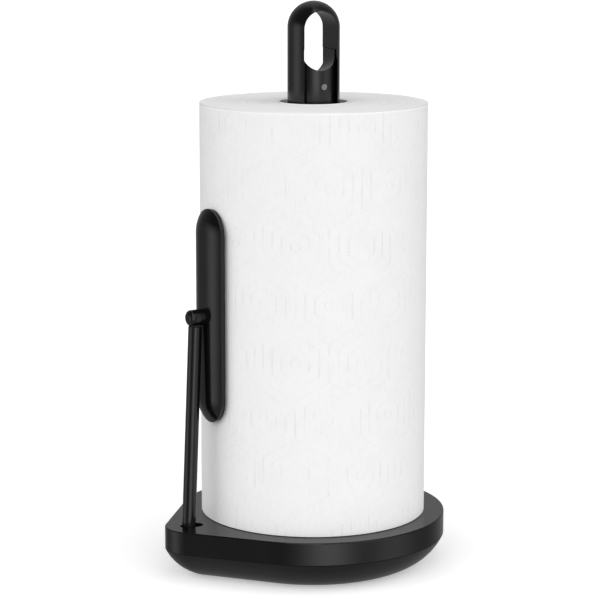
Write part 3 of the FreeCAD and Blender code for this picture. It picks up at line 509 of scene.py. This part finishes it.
def make_materials():
    """One finish for each material slot."""
    return {
        "body_black": moulded_plastic("body_black", *BLACK, 0.15, 0.20, 0.5, 0.05),
        "insert_black": moulded_plastic("insert_black", *WARM_BLACK, 0.18, 0.22, 0.5, 0.05),
        "pad_black": moulded_plastic("pad_black", *BLACK, 0.15, 0.19, 0.5, 0.05),
        "rod_black": satin_paint("rod_black", BLACK[1], 0.15, 0.5),
        "tube_black": satin_paint("tube_black", BLACK[1], 0.3, 0.5),
        "soft_black": soft_rubber("soft_black", *LINER_BLACK),
        "foot_rubber": soft_rubber("foot_rubber", *RUBBER_BLACK),
        "bright_steel": brushed_metal("bright_steel", *STEEL, 0.36, (1, 1, 0.1)),
        "ballast_iron": cast_iron("ballast_iron"),
        "nylon": moulded_plastic("nylon", *NATURAL_NYLON, 0.45, 0.55, 0.5, 0.08),
        "card_grey": cardboard("card_grey"),
        "paper_white": paper_face("paper_white"),
    }


def dress_nodes(materials):
    """Give every CAD node the finish of its own material slot."""
    slot_of = {part["node"]: part["material_slot"] for part in frame["record"]["subparts"]}
    for name, node in nodes.items():
        for index in range(len(node.data.materials)):
            node.data.materials[index] = materials[slot_of[name]]


# ---------------------------------------------------------------- paper roll

# How finely the roll's skin is divided: round it, and in rows from its top to its bottom.
COLUMNS = 440
TOP_RINGS = 46
EDGE_ROWS = 5
SIDE_ROWS = 190
BOTTOM_RINGS = 8

EDGE_RADIUS = 0.35 * MM
# Soft puffs in the sheets, which fade out over a margin at each end of the roll.
QUILT_DEPTH = 0.06 * MM
QUILT_MARGIN = 4 * MM
# The perforation that a sheet tears off along.
SLIT_DEPTH = 0.18 * MM
SLIT_WIDTH = 0.7 * MM
SLIT_PITCH = 5 * MM
# How far below the roll's highest point its wound layers end, and how much more at the bore.
LAYERS_SUNK = 0.35 * MM
BORE_SUNK = 0.25 * MM
# The rim of the top end goes up and down by this much, in waves that each go round this often.
RIM_UNEVEN = 0.25 * MM
RIM_WAVES = (2, 3, 5, 8, 13)


def quilting(along, up):
    """Depth of the soft puffs between the embossed cells."""
    across = np.cos(2 * np.pi * along / CELL_WIDTH)
    return QUILT_DEPTH * (0.5 - 0.5 * across * np.cos(2 * np.pi * up / CELL_HEIGHT))


def perforation(along, up):
    """Short slits in one line across the sheet, one sheet's length from its free end."""
    near = np.exp(-(((along - SHEET_LENGTH) / SLIT_WIDTH) ** 2))
    return SLIT_DEPTH * near * (np.cos(2 * np.pi * up / SLIT_PITCH) > -0.3)


def layer_edge(ring):
    """How far one ring of wound layers stands out of the top end: two waves out of step."""
    return 0.12 * MM * math.sin(ring * 2.4) + 0.05 * MM * math.sin(ring * 5.1)


def uneven_line(count, waves, height):
    """A closed, gently uneven line as a sum of a few waves."""
    angle = np.linspace(0, 2 * np.pi, count, endpoint=False)
    line = np.zeros(count)
    for wave in waves:
        line += np.cos(wave * angle + rng.uniform(0, 2 * np.pi)) / math.sqrt(wave)
    return height * line / np.abs(line).max()


def roll_rows():
    """The rows of points of the roll's skin, over its top end, down its side and under it."""
    low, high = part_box("paper_roll")
    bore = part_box("roll_core")[1][0]
    bottom, top = low[2], high[2]
    end_width = ROLL_RADIUS - EDGE_RADIUS - bore
    share = np.arange(COLUMNS + 1) / COLUMNS
    angle = TAIL_AT + share * 2 * np.pi
    along = share * 2 * np.pi * ROLL_RADIUS
    step_in = SHEET_THICKNESS * (1 - share)
    wrap = ROLL_RADIUS - step_in
    uneven = uneven_line(COLUMNS, RIM_WAVES, RIM_UNEVEN)
    rim = np.append(uneven, uneven[0])
    rows = []

    def add_row(radius, height):
        level = height + 0 * angle
        rows.append(np.stack([radius * np.cos(angle), radius * np.sin(angle), level], axis=1))

    # The top end, from the bore outwards.
    for ring in range(TOP_RINGS):
        part = ring / TOP_RINGS
        height = top - LAYERS_SUNK + layer_edge(ring) - BORE_SUNK * math.exp(-ring / 2)
        add_row(bore + (end_width - step_in) * part, height)
    # Round over the top edge.
    for step in range(EDGE_ROWS):
        turn = math.pi / 2 * (1 - step / EDGE_ROWS)
        height = top - RIM_UNEVEN - EDGE_RADIUS * (1 - math.sin(turn)) + rim * math.sin(turn)
        add_row(wrap - EDGE_RADIUS * (1 - math.cos(turn)), height)
    # Down the side.
    first, last = top - EDGE_RADIUS, bottom + EDGE_RADIUS
    for step in range(SIDE_ROWS + 1):
        up = first + (last - first) * step / SIDE_ROWS
        fade = min(1.0, min(up - bottom, top - up) / QUILT_MARGIN)
        pressed = quilting(along, up) + perforation(along, up)
        add_row(wrap - pressed * fade, up)
    # Round under the bottom edge.
    for step in range(1, EDGE_ROWS + 1):
        turn = math.pi / 2 * step / EDGE_ROWS
        height = last - EDGE_RADIUS * math.sin(turn)
        add_row(wrap - EDGE_RADIUS * (1 - math.cos(turn)), height)
    # The bottom end, back to the bore.
    for ring in range(1, BOTTOM_RINGS + 1):
        add_row(bore + end_width * (1 - ring / BOTTOM_RINGS), bottom)
    return rows


def make_paper_roll(materials):
    """The wound roll: one closed skin with the free end's step, embossed sides, layered ends."""
    rows = roll_rows()
    count = COLUMNS + 1
    # Each row joins the next, and the last one joins the first along the bore.
    faces = []
    on_end = []
    for row in range(len(rows)):
        below = (row + 1) % len(rows)
        end_row = row < TOP_RINGS + EDGE_ROWS or row >= len(rows) - BOTTOM_RINGS
        for column in range(count):
            beside = (column + 1) % count
            here, under = row * count, below * count
            faces.append((here + column, under + column, under + beside, here + beside))
            on_end.append(int(end_row))
    mesh = bpy.data.meshes.new("paper_towels")
    mesh.from_pydata(np.concatenate(rows).tolist(), [], faces)
    mesh.materials.append(materials["paper_white"])
    mesh.materials.append(paper_ends("paper_ends"))
    mesh.polygons.foreach_set("material_index", on_end)
    mesh.polygons.foreach_set("use_smooth", [True] * len(faces))
    mesh.validate()
    mesh.update()
    roll = bpy.data.objects.new("paper_towels", mesh)
    bpy.context.scene.collection.objects.link(roll)
    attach(roll, "roll")
    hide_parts("paper_roll")


# ---------------------------------------------------------------- build

make_camera()
make_studio()
make_floor()
finishes = make_materials()
dress_nodes(finishes)
make_paper_roll(finishes)
